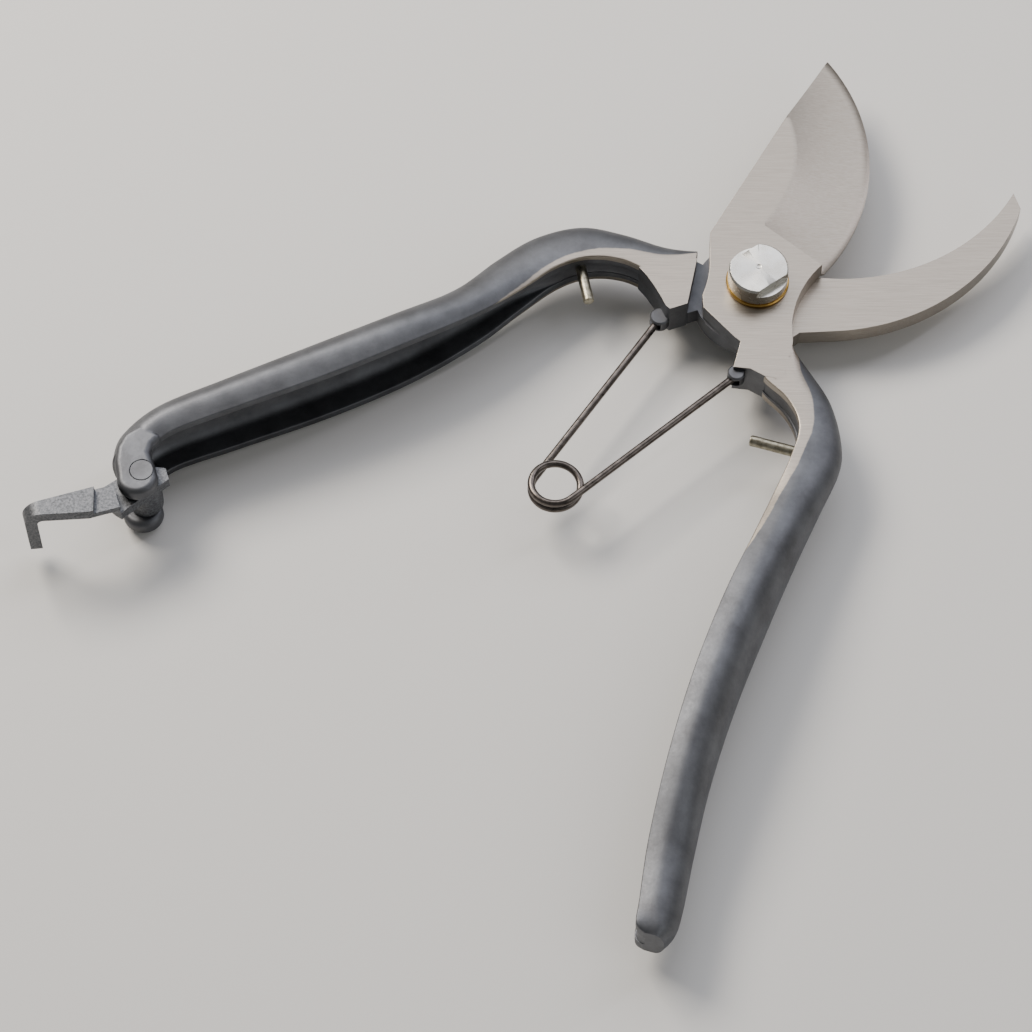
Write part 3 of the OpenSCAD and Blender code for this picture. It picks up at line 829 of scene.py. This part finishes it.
def make_catch():
    """The catch, drawn from its rivet along +x with the bar to the side, then turned into
    place: a plate between the ears, a bar that stands up from it, and a bent lip."""
    offset, width, reach, lip_t, step_r, bend_r = 3.4, 5.2, 21.8, 2.3, 8.4, 1.2
    plate_low, plate_high, bar_low, ledge_z, lip_low = 1.9, 4.4, 5.4, 6.8, -5.0
    low, high = offset - width / 2, offset + width / 2
    top = EAR_TOP - 0.2
    outer_r = bend_r + lip_t
    step_turn = degrees(asin(high / step_r))
    step_edge = pivot_arc(step_r, degrees(asin(low / step_r)), step_turn)
    step_x = step_r * cos(radians(step_turn))
    bm = bmesh.new()
    outline = ([Vector(p) for p in [(-4.8, -1.3), (0, -3.3), (8.3, -0.4)]] + step_edge
               + [Vector((0, 3.3)), Vector((-4.8, 1.3))])
    slab(bm, outline, plate_low, plate_high)
    # The bar steps up from the plate, runs along, and bends down into the lip
    riser = bmesh.new()
    slab(riser, [Vector((step_x, low))] + step_edge, plate_low, top)
    quarter = [pi / 2 * i / 8 for i in range(9)]
    side = [(step_x, bar_low)]
    side += [(reach - bend_r + bend_r * sin(a), bar_low - bend_r + bend_r * cos(a))
             for a in quarter]
    side += [(reach, lip_low), (reach + lip_t, lip_low)]
    side += [(reach + lip_t - outer_r + outer_r * cos(a), top - outer_r + outer_r * sin(a))
             for a in quarter]
    side += [(step_x, top)]
    strip = bmesh.new()
    slab(strip, [Vector(p) for p in side], -high, -low)
    bmesh.ops.rotate(strip, verts=strip.verts, cent=(0, 0, 0),
                     matrix=Matrix.Rotation(pi / 2, 3, "X"))
    bm = grown_on(grown_on(bm, riser), strip)
    # The bar's top stands above the ledge beside the ears, and the bar tapers outwards
    room = bmesh.new()
    slab(room, [Vector(p) for p in [(0, low - 1), (9.33, low - 1), (11.27, high + 1),
                                    (0, high + 1)]], ledge_z, top + 1)
    bm = cut_away(bm, room)
    taper = bmesh.new()
    slab(taper, [Vector(p) for p in [(12.0, high), (reach, low + 2.9), (reach + 4, low + 2.1),
                                     (reach + 4, high + 1), (12.0, high + 1)]],
         lip_low - 4, top + 1)
    bm = cut_away(bm, taper)
    bmesh.ops.remove_doubles(bm, verts=bm.verts, dist=0.01)
    flat_joined(bm)
    bevelled(bm, 0.45, 3, 50)
    hub = bmesh.new()
    hub_r, hub_end, soft = 3.3, plate_high, 0.2
    turned_about_axis(hub, [(0, -hub_end), (hub_r - soft, -hub_end), (hub_r, soft - hub_end),
                            (hub_r, hub_end - soft), (hub_r - soft, hub_end), (0, hub_end)],
                      (0, 0), 64)
    bm = grown_on(bm, hub)
    bore = bmesh.new()
    turned_about_axis(bore, [(0, -9), (1.65, -9), (1.65, 9), (0, 9)], (0, 0), 64)
    bm = cut_away(bm, bore)
    bmesh.ops.rotate(bm, verts=bm.verts, cent=(0, 0, 0),
                     matrix=Matrix.Rotation(radians(197), 3, "Z"))
    bmesh.ops.translate(bm, verts=bm.verts, vec=(CATCH.x, CATCH.y, MID))
    return finished("catch_casting", bm, "catch", ["latch"], [sand_cast])


def make_rivet():
    """The catch rivet, filed flush and blackened with the ears."""
    bm = pin_shape()
    mark = bm.verts.layers.float.new("ground")
    for vert in bm.verts:
        vert[mark] = DARK
    return finished("catch_rivet_peened", bm, "counter_side",
                    ["latch_rivet"], [counter_forging])


# ---------------------------------------------------------------- floor, light and camera


def area_light(name, at, aim, size, power, colour):
    lamp = bpy.data.lights.new(name, "AREA")
    lamp.shape = "RECTANGLE"
    lamp.size, lamp.size_y = size
    lamp.energy = power
    lamp.color = linear(colour)[:3]
    holder = bpy.data.objects.new(name, lamp)
    bpy.context.scene.collection.objects.link(holder)
    holder.location = at
    holder.rotation_euler = (Vector(aim) - Vector(at)).to_track_quat("-Z", "Y").to_euler()
    return holder


def make_studio():
    bm = bmesh.new()
    bmesh.ops.create_grid(bm, x_segments=1, y_segments=1, size=3.0)
    mesh = bpy.data.meshes.new("floor")
    bm.to_mesh(mesh)
    bm.free()
    mesh.materials.append(painted_board("pale_matt_board", "#d9d8d5"))
    floor_piece = bpy.data.objects.new("floor", mesh)
    bpy.context.scene.collection.objects.link(floor_piece)
    world = bpy.data.worlds.new("studio")
    world.use_nodes = True
    sky = world.node_tree.nodes["Background"]
    sky.inputs["Color"].default_value = linear("#cccccc")
    sky.inputs["Strength"].default_value = 0.35
    bpy.context.scene.world = world
    centre = (-0.04, -0.04, 0.01)
    area_light("key", (-0.50, 0.40, 0.60), centre, (0.45, 0.30), 9.0, "#fff6ea")
    area_light("sky_panel", (0.0, 0.80, 1.10), centre, (1.5, 0.9), 11.0, "#f4f6ff")
    area_light("side_strip", (0.60, 0.40, 0.55), centre, (0.08, 0.70), 1.6, "#f6f4ff")
    area_light("fill", (0.6, -0.35, 0.5), centre, (0.5, 0.5), 1.2, "#f2f2f2")


def make_camera():
    camera = bpy.data.cameras.new("camera")
    camera.lens = 125.6
    camera.sensor_width = 36.0
    camera.clip_start = 0.05
    holder = bpy.data.objects.new("camera", camera)
    bpy.context.scene.collection.objects.link(holder)
    holder.location = (-0.04826, -0.40055, 0.60013 + mm(TOP))
    holder.rotation_euler = (radians(30), 0, 0)
    bpy.context.scene.camera = holder


make_camera()
make_studio()
make_blade_arm()
make_counter_arm()
make_bolt()
make_washer("head_washer_brass", washer_low, washer_high, SHANK_R + 0.05, lathe_brass,
            "head_washer")
make_washer("back_washer_steel", back_low, back_high, SHANK_R + 0.05, zinc_steel,
            "back_washer")
make_nut()
make_spring()
make_guard_pin("guard_pin_right", "guard_pin_blade", "blade_side", -2.4, -34.6, -17)
make_guard_pin("guard_pin_left", "guard_pin_counter", "counter_side", -33.6, -2.2, 101)
make_catch()
make_rivet()
